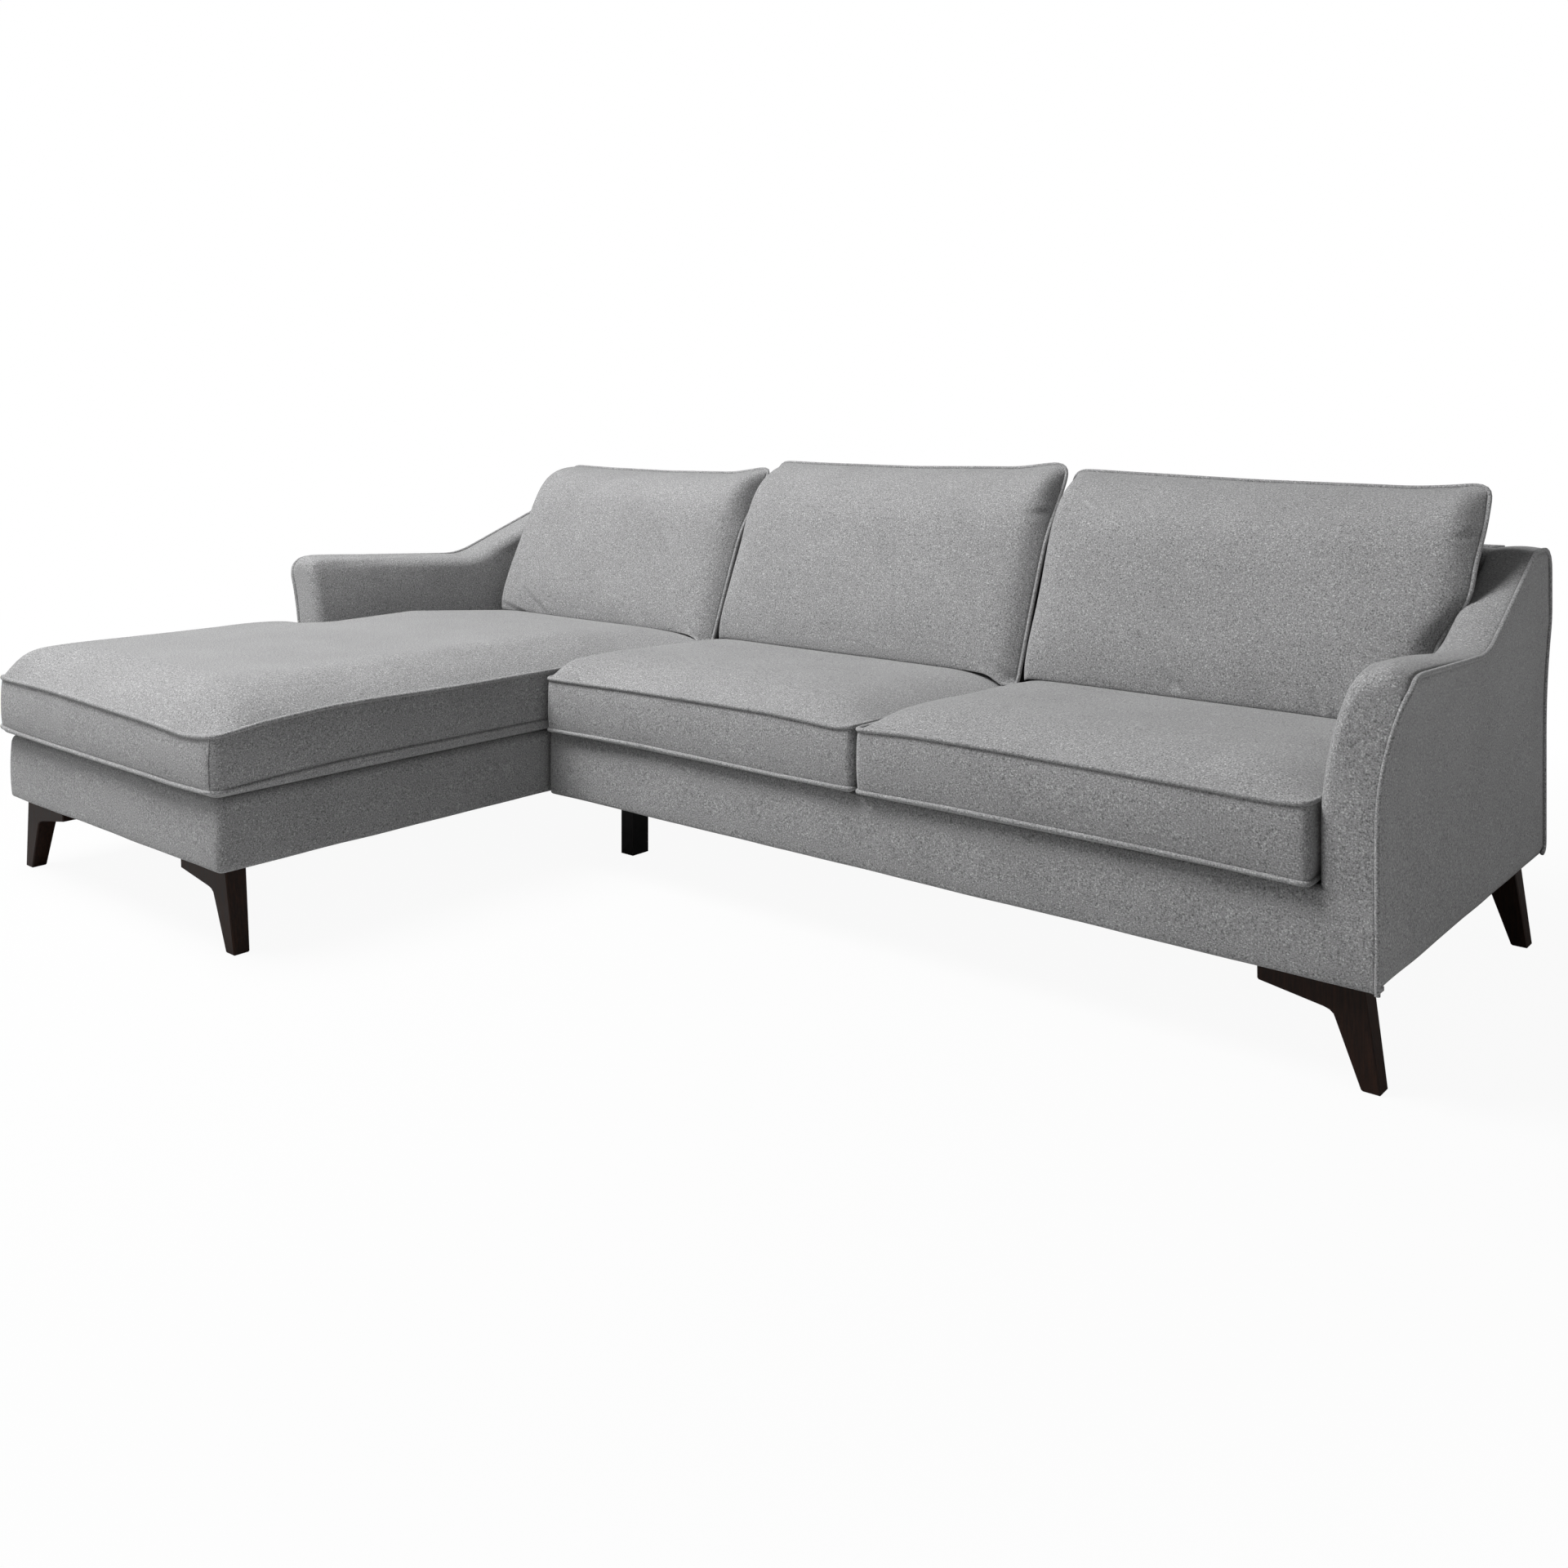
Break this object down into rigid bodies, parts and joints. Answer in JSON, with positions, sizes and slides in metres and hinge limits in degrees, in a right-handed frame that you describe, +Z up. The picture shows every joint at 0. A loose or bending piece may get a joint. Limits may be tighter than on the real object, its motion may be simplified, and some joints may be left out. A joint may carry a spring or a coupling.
{
  "type": "corner sofa",
  "caption": "Fabric corner sofa with a chaise on the left, flared S-curve arms, loose seat and back cushions and dark raked wooden legs.",
  "frame": {"origin": "on the floor, at the centre of the bounding box", "axes": "+X to the viewer's right along the back, +Y from the front to the back, +Z up"},
  "size_m": [2.7518, 1.7136, 0.8649],
  "materials": {
    "grey_melange_fabric": "woven upholstery cloth, light grey melange",
    "frame_timber": "raw softwood and plywood",
    "deck_felt": "dark needle felt",
    "dust_cover_cloth": "black non-woven cloth",
    "spring_steel": "bright drawn wire and flat bar",
    "espresso_wood": "stained nearly black, satin lacquer",
    "black_support": "black"
  },
  "bodies": {
    "frame": {"chaise_back_pad": "grey_melange_fabric", "chaise_back_post_left": "frame_timber", "chaise_back_post_right": "frame_timber", "chaise_back_top_rail": "frame_timber", "chaise_cross_rail": "frame_timber", "chaise_deck": "deck_felt", "chaise_dust_cover": "dust_cover_cloth", "chaise_front_border": "grey_melange_fabric", "chaise_front_left_leg": "espresso_wood", "chaise_front_rail": "frame_timber", "chaise_front_right_leg": "espresso_wood", "chaise_left_border": "grey_melange_fabric", "chaise_left_rail": "frame_timber", "chaise_middle_rail": "frame_timber", "chaise_outside_back": "grey_melange_fabric", "chaise_rear_left_leg": "espresso_wood", "chaise_rear_rail": "frame_timber", "chaise_rear_right_leg": "black_support", "chaise_right_border": "grey_melange_fabric", "chaise_right_rail": "frame_timber", "chaise_spring_1": "spring_steel", "chaise_spring_2": "spring_steel", "chaise_spring_3": "spring_steel", "chaise_spring_4": "spring_steel", "joining_plate_front": "spring_steel", "joining_plate_rear": "spring_steel", "left_arm_frame": "frame_timber", "left_arm_pad": "grey_melange_fabric", "left_arm_side_panel": "grey_melange_fabric", "right_arm_frame": "frame_timber", "right_arm_pad": "grey_melange_fabric", "right_arm_side_panel": "grey_melange_fabric", "sofa_back_pad": "grey_melange_fabric", "sofa_back_post_left": "frame_timber", "sofa_back_post_right": "frame_timber", "sofa_back_top_rail": "frame_timber", "sofa_cross_rail": "frame_timber", "sofa_deck": "deck_felt", "sofa_dust_cover": "dust_cover_cloth", "sofa_front_border": "grey_melange_fabric", "sofa_front_left_leg": "black_support", "sofa_front_rail": "frame_timber", "sofa_front_right_leg": "espresso_wood", "sofa_left_rail": "frame_timber", "sofa_middle_rail": "frame_timber", "sofa_outside_back": "grey_melange_fabric", "sofa_rear_left_leg": "black_support", "sofa_rear_rail": "frame_timber", "sofa_rear_right_leg": "espresso_wood", "sofa_right_rail": "frame_timber", "sofa_spring_1": "spring_steel", "sofa_spring_2": "spring_steel", "sofa_spring_3": "spring_steel", "sofa_spring_4": "spring_steel"},
    "chaise_seat_cushion_body": {"chaise_seat_cushion": "grey_melange_fabric"},
    "seat_cushion_middle_body": {"seat_cushion_middle": "grey_melange_fabric"},
    "seat_cushion_right_body": {"seat_cushion_right": "grey_melange_fabric"},
    "back_cushion_left_body": {"back_cushion_left": "grey_melange_fabric"},
    "back_cushion_middle_body": {"back_cushion_middle": "grey_melange_fabric"},
    "back_cushion_right_body": {"back_cushion_right": "grey_melange_fabric"}
  },
  "joints": [
    {"name": "chaise_seat_cushion_pull", "type": "slide", "parent": "frame", "child": "chaise_seat_cushion_body", "axis": [0, -1, 0], "range_m": [0, 1.5]},
    {"name": "seat_cushion_middle_pull", "type": "slide", "parent": "frame", "child": "seat_cushion_middle_body", "axis": [0, -1, 0], "range_m": [0, 0.75]},
    {"name": "seat_cushion_right_pull", "type": "slide", "parent": "frame", "child": "seat_cushion_right_body", "axis": [0, -1, 0], "range_m": [0, 0.75]},
    {"name": "back_cushion_left_lift", "type": "slide", "parent": "frame", "child": "back_cushion_left_body", "axis": [0, 0, 1], "range_m": [0, 0.45]},
    {"name": "back_cushion_middle_lift", "type": "slide", "parent": "frame", "child": "back_cushion_middle_body", "axis": [0, 0, 1], "range_m": [0, 0.45]},
    {"name": "back_cushion_right_lift", "type": "slide", "parent": "frame", "child": "back_cushion_right_body", "axis": [0, 0, 1], "range_m": [0, 0.45]}
  ]
}
